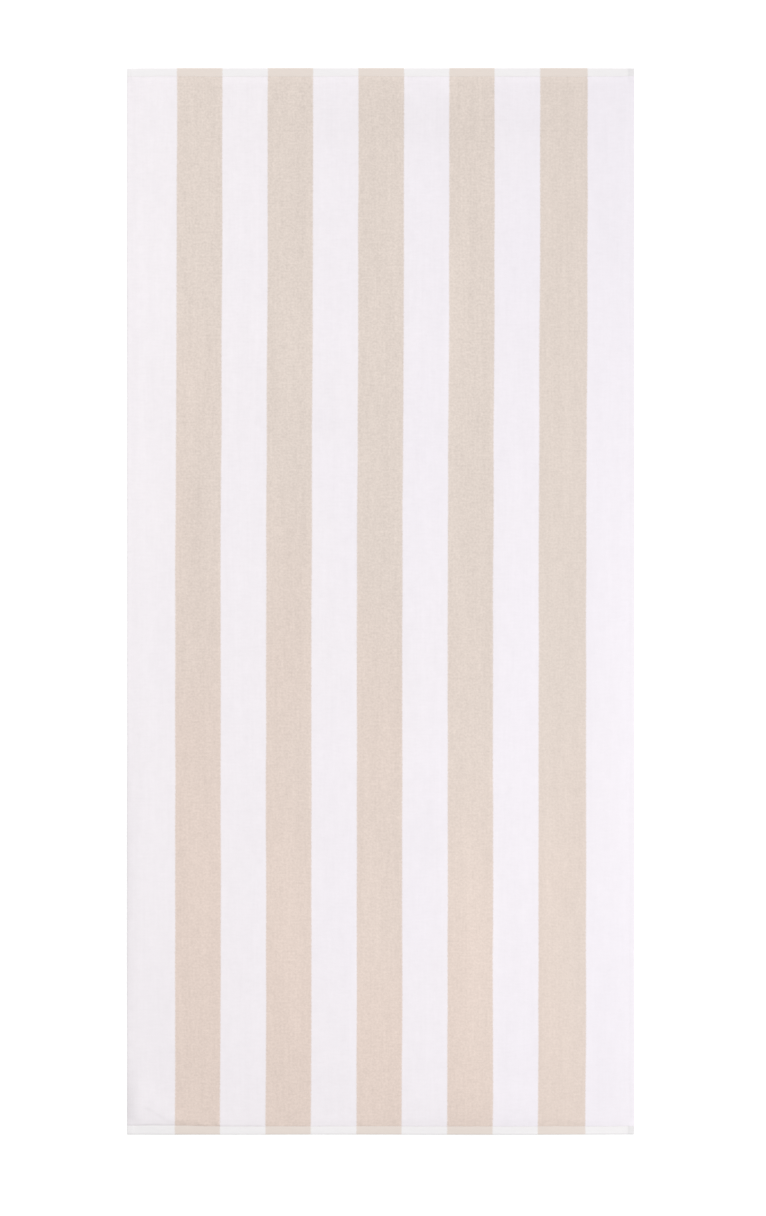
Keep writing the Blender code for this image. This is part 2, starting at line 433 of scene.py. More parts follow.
def cloth():
    """Points, faces, UV maps and material slots of the closed sheet."""
    plan_x, plan_y = plan(flat_x, flat_y)
    face_z, back_z = heights(flat_x, flat_y)
    count = flat_x.size
    number = np.arange(count).reshape(flat_x.shape)
    ring = np.concatenate([number[0, :-1], number[:-1, -1], number[-1, :0:-1], number[:0:-1, 0]])
    beyond = np.roll(ring, -1)
    face_quads = cell_corners(number).reshape(-1, 4)
    back_quads = face_quads[:, ::-1] + count
    rim_quads = np.stack([ring + count, beyond + count, beyond, ring], -1)

    face_points = np.stack([plan_x, plan_y, face_z], -1).reshape(-1, 3)
    back_points = np.stack([plan_x, plan_y, back_z], -1).reshape(-1, 3)
    points = np.concatenate([face_points, back_points])
    faces = np.concatenate([face_quads, back_quads, rim_quads])

    laid = np.stack([flat_x, flat_y], -1).reshape(-1, 2)
    from_seams = np.stack(seams(flat_x, flat_y), -1).reshape(-1, 2)
    both_faces = faces.ravel() % count
    spread_x, spread_y = unrolled(flat_x, WIDTH / 2), unrolled(flat_y, LENGTH / 2)
    spread = BAKE_SCALE * np.stack([spread_x, spread_y], -1).reshape(-1, 2)
    face_spread = spread + FACE_MIDDLE
    back_spread = spread * (-1, 1) + BACK_MIDDLE
    on_grids = np.concatenate([face_spread, back_spread])[faces[: -len(ring)].ravel()]
    rim_deep = FOLD * np.radians(FIRST_TURN) * BAKE_SCALE
    outermost = np.abs(laid) > np.abs(laid).max(0) - HAIR
    outwards = rim_deep * np.sign(laid) * outermost
    on_rim = np.concatenate([face_spread, face_spread + outwards])[rim_quads.ravel()]
    bake = np.concatenate([on_grids, on_rim])

    middle_x = (columns[:-1] + columns[1:]) / 2
    middle_y = (rows[:-1] + rows[1:]) / 2
    side_seam, end_seam = seams(*np.meshgrid(middle_x, middle_y))
    face_slots = np.where(end_seam < 0, HEM, VELOUR)
    back_slots = np.where(end_seam < 0, HEM, np.where(side_seam < 0, VELOUR, TERRY))
    rim_x, rim_y = (laid[ring] + laid[beyond]).T / 2
    rim_slots = np.where(seams(rim_x, rim_y)[1] < 0, HEM, VELOUR)
    slots = np.concatenate([face_slots.ravel(), back_slots.ravel(), rim_slots])
    maps = {"laid_flat": laid[both_faces], "from_seams": from_seams[both_faces], "OFBake": bake}
    return points, [faces], maps, slots


cloth_points, cloth_faces, cloth_maps, cloth_slots = cloth()
print(f"cloth: {cloth_points[:, 2].min() * 1000:.2f} to {cloth_points[:, 2].max() * 1000:.2f} mm high")

# %% [markdown]
# ## Shader arithmetic
# A material is a graph of nodes. Written one by one, a formula such as `(a + b) * c` takes a
# page, so a small class lets Python's own operators add the Math nodes. `Field` stands for a
# value that varies over the surface. `Finish` holds the nodes of one material, and its method
# `node` adds every other kind.

# %% Shader helpers
class Field:
    """One output of a node. Arithmetic with numbers or other fields adds Math nodes."""

    def __init__(self, finish, socket):
        self.finish = finish
        self.socket = socket

    def __add__(self, other):
        return self.finish.math("ADD", self, other)

    def __sub__(self, other):
        return self.finish.math("SUBTRACT", self, other)

    def __rsub__(self, other):
        return self.finish.math("SUBTRACT", other, self)

    def __mul__(self, other):
        return self.finish.math("MULTIPLY", self, other)

    def __abs__(self):
        return self.finish.math("ABSOLUTE", self)

    __radd__ = __add__
    __rmul__ = __mul__


class Finish:
    """The nodes of one new material, whose shader is Principled."""

    def __init__(self, name, uv_map="laid_flat"):
        self.material = bpy.data.materials.new(name)
        self.material.use_nodes = True
        self.nodes = self.material.node_tree.nodes
        self.links = self.material.node_tree.links
        self.place = self.node("ShaderNodeUVMap", {"uv_map": uv_map})
        self.u = self.node("ShaderNodeSeparateXYZ", {}, {0: self.place}, "X")
        self.v = self.node("ShaderNodeSeparateXYZ", {}, {0: self.place}, "Y")

    def node(self, kind, settings=None, values=None, output=0):
        """A node of this kind: its settings first, then the values or links of its inputs."""
        made = self.nodes.new(kind)
        for name, setting in (settings or {}).items():
            setattr(made, name, setting)
        for name, value in (values or {}).items():
            self.put(made.inputs[name], value)
        return Field(self, made.outputs[output])

    def put(self, socket, value):
        """A link where the value is a field, or else a constant set on the socket."""
        if isinstance(value, Field):
            self.links.new(value.socket, socket)
        else:
            socket.default_value = value

    def math(self, operation, *terms):
        """A Math node with that operation on its terms."""
        return self.node("ShaderNodeMath", {"operation": operation}, dict(enumerate(terms)))

    def rise(self, value, start, end):
        """0 where the value is below start, 1 above end, and a soft S curve between them."""
        span = {"Value": value, "From Min": start, "From Max": end}
        return self.node("ShaderNodeMapRange", {"interpolation_type": "SMOOTHSTEP"}, span)

    def bell(self, value, centre, wide):
        """1 where the value is at the centre, falling softly to 0 at wide to either side."""
        return 1 - self.rise(abs(value - centre), 0.0, wide)

    def stretched(self, wide, long, shift=0.0):
        """The piece's UV place, measured in patches of that width in u and that length in v."""
        scale = {"Vector": self.place, "Location": (shift, shift, 0.0), "Scale": (1 / wide, 1 / long, 1.0)}
        return self.node("ShaderNodeMapping", {}, scale)

    def noise(self, wide, long, detail=2.0, shift=0.0):
        """Soft random values round 0, mostly within a half, in patches of about that size in metres."""
        values = {"Vector": self.stretched(wide, long, shift), "Scale": 1.0, "Detail": detail}
        return self.node("ShaderNodeTexNoise", {"noise_dimensions": "2D"}, values) - 0.5

    def blend(self, first, second, share):
        """The first colour where share is 0 and the second where it is 1."""
        colours = {0: share, 6: first, 7: second}
        return self.node("ShaderNodeMix", {"data_type": "RGBA"}, colours, 2)

    def shade(self, colour, factor):
        """The colour made lighter or darker by a factor near 1."""
        scaled = {0: colour, "Scale": factor}
        return self.node("ShaderNodeVectorMath", {"operation": "SCALE"}, scaled)

    def done(self, colour, roughness, bump, specular, sheen, sheen_rough=0.5):
        """Sets the shader and returns the material. bump is a strength, a depth and a field of heights."""
        relief = dict(zip(("Strength", "Distance", "Height"), bump))
        sockets = {
            "Base Color": colour,
            "Roughness": roughness,
            "Normal": self.node("ShaderNodeBump", {}, relief),
            "Specular IOR Level": specular,
            "Sheen Weight": sheen,
            "Sheen Roughness": sheen_rough,
        }
        for name, value in sockets.items():
            self.put(self.nodes["Principled BSDF"].inputs[name], value)
        return self.material


# %% [markdown]
# ## The stripes
# The stripes are in the yarn, so they run through the cloth and show on both faces and on the
# hems. Five sand stripes and six white ones have the same pitch, apart from the outer two,
# which are wider. A triangle wave of the distance from the middle gives them all: it is zero
# in the middle of each sand stripe. The stripes lean a hair to one side along the towel, as
# cloth does on a loom, and pile from one stripe leans over its neighbour, so an edge is soft
# and wanders by a fraction of a millimetre.

# %% Stripes
STRIPE_PITCH = 0.0681
STRIPE_SHIFT = -0.0012
STRIPE_LEAN = 0.0021  # metres sideways for each metre along
STRIPE_BOW, BOW_LENGTH = 0.0005, 1.15  # a slow wave sideways, and its length
LAST_WIDER = 0.0032  # the sand stripe on the right has a few more warp yarns
LAST_MIDDLE, LAST_EDGE = 4.0 * STRIPE_PITCH, 4.5 * STRIPE_PITCH
OUTER_WHITE = 5.0 * STRIPE_PITCH  # a place in the outer white stripe, beyond which no sand comes
EDGE_SOFT = 0.0013  # half the width of a stripe's soft edge
EDGE_WAVE = 0.0016
EDGE_FRAY = 0.0022


def sand_share(finish, soft=EDGE_SOFT):
    """1 on a sand stripe and 0 on a white one: a triangle wave of the place across, cut off softly."""
    wave = EDGE_WAVE * finish.noise(0.05, 0.16, 1.0)
    fray = EDGE_FRAY * finish.noise(0.0012, 0.0030, 1.0)
    bow = STRIPE_BOW * finish.math("COSINE", finish.v * (2 * np.pi / BOW_LENGTH))
    wider = LAST_WIDER * finish.rise(finish.u, LAST_MIDDLE, LAST_EDGE)
    middle = STRIPE_SHIFT + STRIPE_LEAN * finish.v - bow + wider
    across = abs(finish.u - middle + wave + fray)
    from_middle = finish.math("PINGPONG", across, STRIPE_PITCH)
    half = STRIPE_PITCH / 2
    inner = 1 - finish.rise(from_middle, half - soft, half + soft)
    return inner * (1 - finish.rise(across, OUTER_WHITE - soft, OUTER_WHITE + soft))


# %% [markdown]
# ## Velour, the sheared face
# Cut pile is matt, because its fibre ends point at the eye and swallow the light. What an eye
# sees is the tips of its tufts, a fine mottle where they part, faint rows across where the weft
# lies under the pile, and longer streaks along where a warp yarn is a little fuller. Dyed yarn
# shows all of this more than white yarn does. Noise textures stretched to each of those sizes
# make the pattern, which tints the colour and lifts the surface a little with Bump.

# %% Velour
WHITE_COOL = (0.869, 0.829, 0.880, 1.0)
WHITE_WARM = (0.875, 0.835, 0.864, 1.0)
SAND_COOL = (0.732, 0.642, 0.583, 1.0)
SAND_WARM = (0.749, 0.626, 0.561, 1.0)
WHITE_SPAN, SAND_SPAN = (-0.45, 0.45), (-0.30, 0.80)  # over which each of the two turns warm
DRIFT, DRIFT_WIDE, DRIFT_LONG = 0.55, 0.20, 0.30  # how unevenly, and the size of the patches

# Columns: width and length of a patch in metres, detail, shift, and how strongly it tints
MARKS = {
    "tips": (0.0009, 0.0010, 1.0, 21.0, 1.000),
    "mottle": (0.0034, 0.0031, 1.0, 0.0, 0.130),
    "clumps": (0.0085, 0.0110, 2.0, 3.0, 0.050),
    "rows across": (0.0160, 0.0032, 1.0, 5.0, 0.052),
    "streaks along": (0.0036, 0.0600, 1.0, 9.0, 0.042),
    "brushed": (0.0160, 0.2400, 2.0, 11.0, 0.045),
    "lay": (0.0220, 0.0280, 2.0, 15.0, 0.036),
    "ruffled": (0.0120, 0.0060, 2.0, 17.0, 0.160),
}
COARSE_MARKS = ("clumps", "rows across", "streaks along", "brushed")
RELIEF = {"mottle": 1.0, "tips": 0.5, "clumps": 0.5, "rows across": 0.4}  # parts of the bump
# For each of these the values on white yarn and on sand yarn
TIPS, FINE, COARSE, RAISED = (0.02, 0.13), (0.13, 1.42), (0.60, 1.50), (0.40, 1.00)
FAR_SEAM_LIT = (0.0096, 0.0256)  # just inside the far stitches, where the pile stands up to the light
LIT_IN, LIT_WIDE = 0.0018, 0.0030
RUFFLED_REACH = 0.018  # from the near end's stitches
CLEAR, CLEARER, FAR_SPAN = 0.88, 0.20, (-0.5, 0.5)  # the pattern is clearer towards the far end
LESS_CLEAR, RIGHT_SPAN = 0.20, (0.15, 0.30)  # and less clear at the right


def by_yarn(share, white, sand):
    """White's value where the sand share is 0, and sand's where it is 1."""
    return white + (sand - white) * share


def yarn_colour(finish, share, factor):
    """The dyed yarn: white turns warmer towards the left, and sand towards the front left."""
    drift = DRIFT * finish.noise(DRIFT_WIDE, DRIFT_LONG, 1.0, 7.0)
    white = finish.blend(WHITE_COOL, WHITE_WARM, finish.rise(drift - finish.u, *WHITE_SPAN))
    to_front_left = drift - finish.u - finish.v
    sand = finish.blend(SAND_COOL, SAND_WARM, finish.rise(to_front_left, *SAND_SPAN))
    return finish.shade(finish.blend(white, sand, share), factor)


def velour():
    finish = Finish("velour")
    share = sand_share(finish)
    mark = {name: finish.noise(*row[:-1]) for name, row in MARKS.items()}
    tint = {name: row[-1] * mark[name] for name, row in MARKS.items()}
    pattern = by_yarn(share, *TIPS) * tint["tips"] + by_yarn(share, *FINE) * tint["mottle"]
    pattern = pattern + by_yarn(share, *COARSE) * sum(tint[name] for name in COARSE_MARKS)
    clear = CLEAR + CLEARER * finish.rise(finish.v, *FAR_SPAN)
    clear = clear - LESS_CLEAR * finish.rise(finish.u, *RIGHT_SPAN)

    end_seam = from_stitches(finish)[1]
    near = near_end(finish)
    parted = share * near * finish.bell(end_seam, 0.0, RUFFLED_REACH)
    lit = by_yarn(share, *FAR_SEAM_LIT) * (1 - near) * finish.bell(end_seam, LIT_IN, LIT_WIDE)
    brushed_light_and_shade = finish.node("ShaderNodeAttribute", {"attribute_name": "tone"}, output="Fac")
    tone = brushed_light_and_shade + fine_tones(finish) + parted * tint["ruffled"] + lit
    factor = (1 + clear * pattern + tint["lay"] + tone) * seam_shade(finish) * fold_shade(finish)
    height = by_yarn(share, *RAISED) * sum(part * mark[name] for name, part in RELIEF.items())
    return finish.done(
        yarn_colour(finish, share, factor),
        roughness=0.93 - 0.08 * mark["mottle"],
        bump=(0.2, 0.0006, height),
        specular=0.12,
        sheen=0.25,
        sheen_rough=0.55,
    )


# %% [markdown]
# At the left of the near end, where the stitches draw in most, the dip beside them holds less
# light than the open cloth, so the finishes are darkened there by a little: painted shade. Along
# the outermost line of each fold they are darkened by a little too, painted shade where the cloth
# turns down. The distance from the stitches comes with the mesh, in its own UV map.

# %% Seam and fold shade
SEAM_DARK, SEAM_UNEVEN, SEAM_PATCH = 0.060, 1.6, 0.030
SEAM_DARK_TO, SEAM_DARK_GONE = -0.25, -0.10  # places across between which the dark ends
SEAM_SHADE_IN = 0.0014  # how far inwards of the stitches it is darkest
SEAM_SHADE_WIDE = 0.0024
FOLD_DARK = 0.02
FOLD_SHADE_WIDE = 0.0022
HALVES = (-0.1, 0.1)  # over this stretch of the middle one half gives way to the other


def from_stitches(finish):
    """Distances inwards from the side and the end stitches, as fields."""
    place = finish.node("ShaderNodeUVMap", {"uv_map": "from_seams"})
    side = finish.node("ShaderNodeSeparateXYZ", {}, {0: place}, "X")
    return side, finish.node("ShaderNodeSeparateXYZ", {}, {0: place}, "Y")


def near_end(finish):
    """1 on the near half of the towel and 0 on the far half."""
    return 1 - finish.rise(finish.v, *HALVES)


def seam_shade(finish):
    """1 on open cloth, and less beside the left part of the near end's stitches, unevenly: painted shade.
    """
    dark = SEAM_DARK * (1 - finish.rise(finish.u, SEAM_DARK_TO, SEAM_DARK_GONE))
    uneven = 1 + SEAM_UNEVEN * finish.noise(SEAM_PATCH, SEAM_PATCH, 1.0, 2.0)
    stitched = finish.bell(from_stitches(finish)[1], SEAM_SHADE_IN, SEAM_SHADE_WIDE)
    return 1 - dark * uneven * near_end(finish) * stitched


def fold_shade(finish):
    """1 on open cloth, falling by FOLD_DARK to the outermost line of the folds: painted shade."""
    side_seam, end_seam = from_stitches(finish)
    off_side = finish.rise(side_seam, -SIDE_HEM, FOLD_SHADE_WIDE - SIDE_HEM)
    off_end = finish.rise(end_seam, -END_HEM, FOLD_SHADE_WIDE - END_HEM)
    return 1 - FOLD_DARK * (1 - off_side * off_end)


# %% [markdown]
# ## Terry, the looped back
# The back keeps its loops. A Voronoi texture divides the surface into small cells, one for
# each loop, and the distance from a cell's middle gives the loop's round height.
# The colour follows that height, darker between the loops: painted shade.

# %% Terry
LOOP_WIDE, LOOP_LONG, LOOP_UNEVEN = 0.0016, 0.0021, 0.8
# The loop tint darkens the colour between the loops and lightens their tops: painted shade.
TERRY_TONE, LOOP_SHADE, LEAN_TINT = 0.86, 0.16, 0.08
LEAN_RELIEF = 0.5


def terry():
    finish = Finish("terry loops")
    share = sand_share(finish, 2 * EDGE_SOFT)
    cells = {"Vector": finish.stretched(LOOP_WIDE, LOOP_LONG), "Scale": 1.0, "Randomness": LOOP_UNEVEN}
    loop = 1 - finish.node("ShaderNodeTexVoronoi", {"voronoi_dimensions": "2D"}, cells, "Distance")
    lean = finish.noise(0.0040, 0.0060, 2.0, 13.0)
    factor = (TERRY_TONE + LOOP_SHADE * loop + LEAN_TINT * lean) * seam_shade(finish)
    return finish.done(
        yarn_colour(finish, share, factor),
        roughness=0.95 - 0.08 * loop,
        bump=(0.7, 0.0009, loop + LEAN_RELIEF * lean),
        specular=0.12,
        sheen=0.15,
        sheen_rough=0.6,
    )


# %% [markdown]
# ## The flat hems
# The end hems have no pile, so their plain weave shows: ribs across from the weft, crossed by
# the finer warp. Two sine waves make it. Bare ground yarn is less white than pile, and where the
# side hem is folded into the end hem the hem is greyer still, most at the right.

# %% Hem weave
WEFT_STEP, WARP_STEP = 0.00125, 0.00085
WEAVE_UNEVEN = 3.0  # how far a yarn strays, in radians of its wave
RIBS, CROSSINGS = 0.6, 0.4  # their shares of the weave
WEAVE_TINT, SLUB_TINT = 0.02, 0.05
HEM_WHITE = (0.870, 0.852, 0.860, 1.0)
HEM_SAND = (0.775, 0.695, 0.640, 1.0)
LEFT_GREY, RIGHT_GREY = 0.01, 0.07  # how much greyer the corners are, where the side hem is folded into the end hem
NEAR_FOLD_LIT = 0.025  # painted light: how much lighter the near hem is towards its fold, at the right
FOLD_LIT_WHOLE, FOLD_LIT_GONE, LIT_SPAN = 0.0015, 0.0060, (-0.15, 0.35)


def hem_weave():
    finish = Finish("hem weave")
    share = sand_share(finish)
    stray = WEAVE_UNEVEN * finish.noise(0.012, 0.012, 2.0)
    weft = finish.math("SINE", finish.v * (2 * np.pi / WEFT_STEP) + stray)
    warp = finish.math("SINE", finish.u * (2 * np.pi / WARP_STEP) + stray)
    weave = RIBS * weft + CROSSINGS * weft * warp
    slubs = finish.noise(0.0140, 0.0012, 2.0, 4.0)
    side_seam, end_seam = from_stitches(finish)
    side_layers = 1 - finish.rise(side_seam, 0.0, CORNER_SOFT)
    end_layers = 1 - finish.rise(end_seam, 0.0, CORNER_SOFT)
    grey = LEFT_GREY + (RIGHT_GREY - LEFT_GREY) * finish.rise(finish.u, *HALVES)
    corner_grey = 1 - grey * side_layers * end_layers
    by_fold = 1 - finish.rise(end_seam, FOLD_LIT_WHOLE - END_HEM, FOLD_LIT_GONE - END_HEM)
    lit = 1 + NEAR_FOLD_LIT * near_end(finish) * finish.rise(finish.u, *LIT_SPAN) * by_fold
    factor = (1 + WEAVE_TINT * weave + SLUB_TINT * slubs) * corner_grey * lit
    factor = factor * seam_shade(finish) * fold_shade(finish)
    return finish.done(
        finish.shade(finish.blend(HEM_WHITE, HEM_SAND, share), factor),
        roughness=0.86 - 0.06 * weave,
        bump=(0.3, 0.0002, weave + slubs),
        specular=0.18,
        sheen=0.10,
    )


# %% [markdown]
# ## Where a hand has brushed the pile
# Pile that leans towards the light looks paler, and pile that leans away looks darker. So
# soft bands run along the stripes where the towel was smoothed out, and the left edge near
# the front is darker. They are humps, as the ripples are, but of tone: their sum
# goes into the mesh as a number for each point, and the velour reads it.
# These tones are painted light and shade, and the darker left edge near the front is painted shade where
# the turned corner faces away from the light.

# %% Brushed tones
# Columns: centre x and y, turn of the long way from +X in degrees, half length, half width, tone
BRUSHED_LIGHT_AND_SHADE = {
    "outer white, far half": (-0.362, 0.200, 90.0, 0.560, 0.036, 0.017),
    "outer white, by the stripe": (-0.322, -0.630, 90.0, 0.230, 0.026, -0.018),
    "outer white, front edge": (-0.380, -0.470, 90.0, 0.420, 0.010, -0.060),
    "outer white, front corner": (-0.384, -0.758, 90.0, 0.085, 0.026, -0.120),
    "along the near end": (0.000, -0.750, 0.0, 0.620, 0.110, -0.014),
    "along the far end": (0.120, 0.730, 0.0, 0.500, 0.110, -0.009),
    "first sand, middle": (-0.272, 0.030, 90.0, 0.400, 0.026, -0.026),
    "first sand, left": (-0.292, 0.280, 90.0, 0.190, 0.018, 0.024),
    "first sand, front": (-0.272, -0.430, 90.0, 0.260, 0.050, 0.019),
    "second sand, middle": (-0.136, 0.000, 90.0, 0.380, 0.030, -0.016),
    "second sand, front half": (-0.138, -0.460, 90.0, 0.270, 0.050, 0.038),
    "third sand, middle": (0.008, 0.000, 90.0, 0.300, 0.050, -0.020),
    "third sand, front left": (-0.012, -0.560, 90.0, 0.330, 0.046, 0.032),
    "fourth sand, far left": (0.116, 0.430, 90.0, 0.240, 0.024, 0.032),
    "fourth sand, right": (0.156, 0.060, 90.0, 0.360, 0.030, -0.024),
    "fourth sand, front": (0.138, -0.500, 90.0, 0.330, 0.055, 0.048),
    "fifth sand, middle": (0.282, -0.060, 90.0, 0.330, 0.050, -0.016),
    "fifth sand, streak": (0.254, -0.390, 90.0, 0.110, 0.015, 0.030),
    "fifth sand, front left": (0.256, -0.520, 90.0, 0.260, 0.026, 0.014),
    "fifth sand, front": (0.276, -0.620, 90.0, 0.240, 0.050, 0.020),
    "last white, by the stripe": (0.330, -0.650, 90.0, 0.180, 0.026, -0.010),
}

face_tone = ridges(flat_x, flat_y, BRUSHED_LIGHT_AND_SHADE).ravel()
print(f"tone: from {face_tone.min():.3f} to {face_tone.max():.3f}")

# %% [markdown]
# Marks finer than the grid are drawn by the velour itself, as soft ellipses: painted shade along
# the creases of the front left corner, a painted highlight on the spot that catches the light
# beside them, and two places where the pile was pressed down.

# %% Fine tones
# Columns: centre x and y, turn of the long way from +X in degrees, half length, half width, tone
FINE_TONES = {
    "corner crease, upper": (-0.348, -0.762, -24.0, 0.012, 0.0045, -0.035),
    "corner crease, lower": (-0.330, -0.773, -33.0, 0.017, 0.0045, -0.040),
    "corner crease, by the seam": (-0.304, -0.7815, 0.0, 0.024, 0.0035, -0.035),
    "lit spot beside them": (-0.303, -0.767, 0.0, 0.010, 0.0090, 0.050),
    "pressed spot, right": (0.294, -0.283, 20.0, 0.013, 0.0090, -0.055),
    "pressed spot, left": (-0.297, -0.376, 0.0, 0.013, 0.0090, -0.040),
}


def fine_tones(finish):
    """The sum of the fine tones, each 1 at its ellipse's centre and 0 from its edge outwards."""
    total = 0.0
    for x, y, turn, half_length, half_width, tone in FINE_TONES.values():
        ellipse = {
            "Vector": finish.place,
            "Location": (x, y, 0.0),
            "Rotation": (0.0, 0.0, np.radians(turn)),
            "Scale": (half_length, half_width, 1.0),
        }
        within = finish.node("ShaderNodeMapping", {"vector_type": "TEXTURE"}, ellipse)
        out = finish.node("ShaderNodeVectorMath", {"operation": "LENGTH"}, {0: within}, "Value")
        total = total + tone * (1 - finish.rise(out, 0.0, 1.0))
    return total


# %% Make the cloth
cloth_finishes = [velour(), terry(), hem_weave()]
towel_cloth = new_piece("towel_cloth", cloth_points, cloth_faces, cloth_maps, cloth_finishes, cloth_slots)
tones = towel_cloth.data.attributes.new("tone", "FLOAT", "POINT")
tones.data.foreach_set("value", np.concatenate([face_tone, 0 * face_tone]))

# %% [markdown]
# ## The stitches
# A row of lockstitch holds each hem. On either face it is one thread that lies on the cloth
# for the length of a stitch and dives into it at the needle's holes. So its path is the seam
# line with a height that follows a flat-topped arch for each stitch, and the thread is a tube
# round that path. The side seams were sewn first, and run under the end hems.

# %% Tube along a path
THREAD = 0.00021  # radius
THREAD_SIDES = 5


def tube(path, radius, sides):
    """A tube with pointed ends round a path: rings of the radius at every point but the end ones.

    Each ring lies across the path's direction. Returns points, side quads, tip triangles, and
    for the corners of each the shares of the way round and along.
    """
    ahead = np.gradient(path, axis=0)
    ahead /= np.linalg.norm(ahead, axis=1, keepdims=True)
    left = np.cross((0, 0, 1), ahead)
    left /= np.linalg.norm(left, axis=1, keepdims=True)
    over = np.cross(ahead, left)
    turn = np.arange(sides) * 2 * np.pi / sides
    out = np.cos(turn)[:, None] * left[1:-1, None] + np.sin(turn)[:, None] * over[1:-1, None]
    rings = path[1:-1, None] + radius * out
    count = len(path) - 2
    points = np.concatenate([rings.reshape(-1, 3), path[[0, -1]]])
    number = np.arange(count * sides).reshape(count, sides)
    number = np.concatenate([number, number[:, :1]], 1)
    side_quads = cell_corners(number).reshape(-1, 4)
    first, last = np.full(sides, count * sides), np.full(sides, count * sides + 1)
    start_tip = np.stack([first, number[0, 1:], number[0, :-1]], -1)
    end_tip = np.stack([last, number[-1, :-1], number[-1, 1:]], -1)

    along, round_it = np.meshgrid(np.arange(1, count + 1), np.arange(sides + 1), indexing="ij")
    share = np.stack([along / (count + 1), round_it / sides], -1)
    quad_share = cell_corners(share).reshape(-1, 2)
    middle = (np.arange(sides) + 0.5) / sides
    start_share = np.stack([np.stack([0 * middle, middle], -1), share[0, 1:], share[0, :-1]], 1)
    end_share = np.stack([np.stack([0 * middle + 1, middle], -1), share[-1, :-1], share[-1, 1:]], 1)
    tips = np.concatenate([start_tip, end_tip])
    tip_share = np.concatenate([start_share, end_share]).reshape(-1, 2)
    return points, side_quads, tips, quad_share, tip_share


# %% Rows of stitches
STITCH = 0.0031
STITCH_RINGS = 7
SIDE_OVER, END_OVER = -0.00012, 0.0  # the thread's middle over the cloth
STITCH_UNDER = 0.00042  # and how deep it dives at a hole
STITCH_WANDER, STITCH_WANDER_STEP = 0.00018, 0.006
SIDE_SEAM_X, END_SEAM_Y = WIDTH / 2 - SIDE_HEM, LENGTH / 2 - END_HEM
SIDE_RUN, END_RUN = LENGTH / 2 - END_HEM / 2, WIDTH / 2 - FOLD  # half the length of each row
STITCH_SEED = 20
ROW_SPREAD, ROW_GAP = (0.98, 0.46), (0.01, 0.02)  # a row's part of the bake's square, and the gap
# Each row's start and heading
SIDE_ROWS = {"left": ((-SIDE_SEAM_X, -SIDE_RUN), (0, 1)), "right": ((SIDE_SEAM_X, -SIDE_RUN), (0, 1))}
END_ROWS = {"near": ((-END_RUN, -END_SEAM_Y), (1, 0)), "far": ((-END_RUN, END_SEAM_Y), (1, 0))}


def onto_seam(x, y, heading, inwards):
    """Moves places on a straight seam line onto the wandering one, and inwards by a distance."""
    side_seam, end_seam = seams(x, y)
    x = x + heading[1] * np.sign(x) * (side_seam - inwards)
    y = y + heading[0] * np.sign(y) * (end_seam - inwards)
    return x, y


def stitched_path(start, heading, seed, on_back):
    """Points of one thread: even steps along its seam, with a flat-topped arch over each stitch."""
    length = 2 * (SIDE_RUN if heading[1] else END_RUN)
    count = round(length / STITCH)
    step = np.arange(count * STITCH_RINGS + 1) / STITCH_RINGS
    along = length * step / count
    aside = STITCH_WANDER * wander(along, STITCH_WANDER_STEP, seed)
    x, y = onto_seam(start[0] + along * heading[0], start[1] + along * heading[1], heading, aside)
    arch = 1 - np.abs(2 * (step % 1) - 1) ** 4
    over = (SIDE_OVER if heading[1] else END_OVER) - STITCH_UNDER * (1 - arch)
    plan_x, plan_y = plan(x, y)
    face_z, back_z = heights(x, y)
    z = back_z - over if on_back else face_z + over
    return np.stack([plan_x, plan_y, z], -1)


def stitches(name, rows_of_thread, on_back, finish):
    """Both rows of one pair of hems, as one piece. Each row has its own half of the bake's square."""
    points, side_quads, tips, quad_share, tip_share = [], [], [], [], []
    start = 0
    for number, (place, heading) in enumerate(rows_of_thread.values()):
        path = stitched_path(place, heading, STITCH_SEED + number + 2 * on_back, on_back)
        row_points, row_quads, row_tips, *row_shares = tube(path, THREAD, THREAD_SIDES)
        points.append(row_points)
        side_quads.append(row_quads + start)
        tips.append(row_tips + start)
        low_corner = np.array(ROW_GAP) + (0, number / 2)
        for shares, row_share in zip((quad_share, tip_share), row_shares):
            shares.append(row_share * ROW_SPREAD + low_corner)
        start += len(row_points)
    faces = [np.concatenate(side_quads), np.concatenate(tips)]
    bake = np.concatenate(quad_share + tip_share)
    return new_piece(name, np.concatenate(points), faces, {"OFBake": bake}, [finish])


# %% [markdown]
# The thread is two plies twisted together. A sine of the share of the way along plus the way
# round gives the twist, and it runs on the piece's own UV map, so it follows the thread. The
# sides are sewn in white, and sink into the pile. The ends cross both colours of yarn, and
# are sewn in a pale ecru.

# %% Thread
PLY_TURNS = 1400  # along one row
WAYS_ROUND = 2  # the two plies
LIT_SHARE, TWIST_SHARE, FUZZ_SHARE = 0.6, 0.4, 0.5  # of the light colour
WHITE_THREAD = ((0.885, 0.855, 0.885, 1.0), (0.850, 0.820, 0.850, 1.0))  # light, and darker in the hollows between the plies as painted shade
ECRU_THREAD = ((0.850, 0.820, 0.805, 1.0), (0.800, 0.765, 0.745, 1.0))


def thread(name, light, hollow_shade):
    """Twisted thread: light on the round of each ply, and between them the darker hollow colour, painted
    shade.
    """
    finish = Finish(name, "OFBake")
    twist = finish.math("SINE", 2 * np.pi * (PLY_TURNS * finish.u + 2 * WAYS_ROUND * finish.v))
    on_round = LIT_SHARE + TWIST_SHARE * twist + FUZZ_SHARE * finish.noise(0.002, 0.03, 2.0)
    return finish.done(
        finish.blend(hollow_shade, light, on_round),
        roughness=0.62 - 0.06 * twist,
        bump=(0.5, 0.0001, twist),
        specular=0.3,
        sheen=0.1,
    )


white_thread = thread("white thread", *WHITE_THREAD)
ecru_thread = thread("ecru thread", *ECRU_THREAD)
sewn_pieces = [
    stitches("side_stitches_face", SIDE_ROWS, False, white_thread),
    stitches("side_stitches_back", SIDE_ROWS, True, white_thread),
    stitches("end_stitches_face", END_ROWS, False, ecru_thread),
    stitches("end_stitches_back", END_ROWS, True, ecru_thread),
]

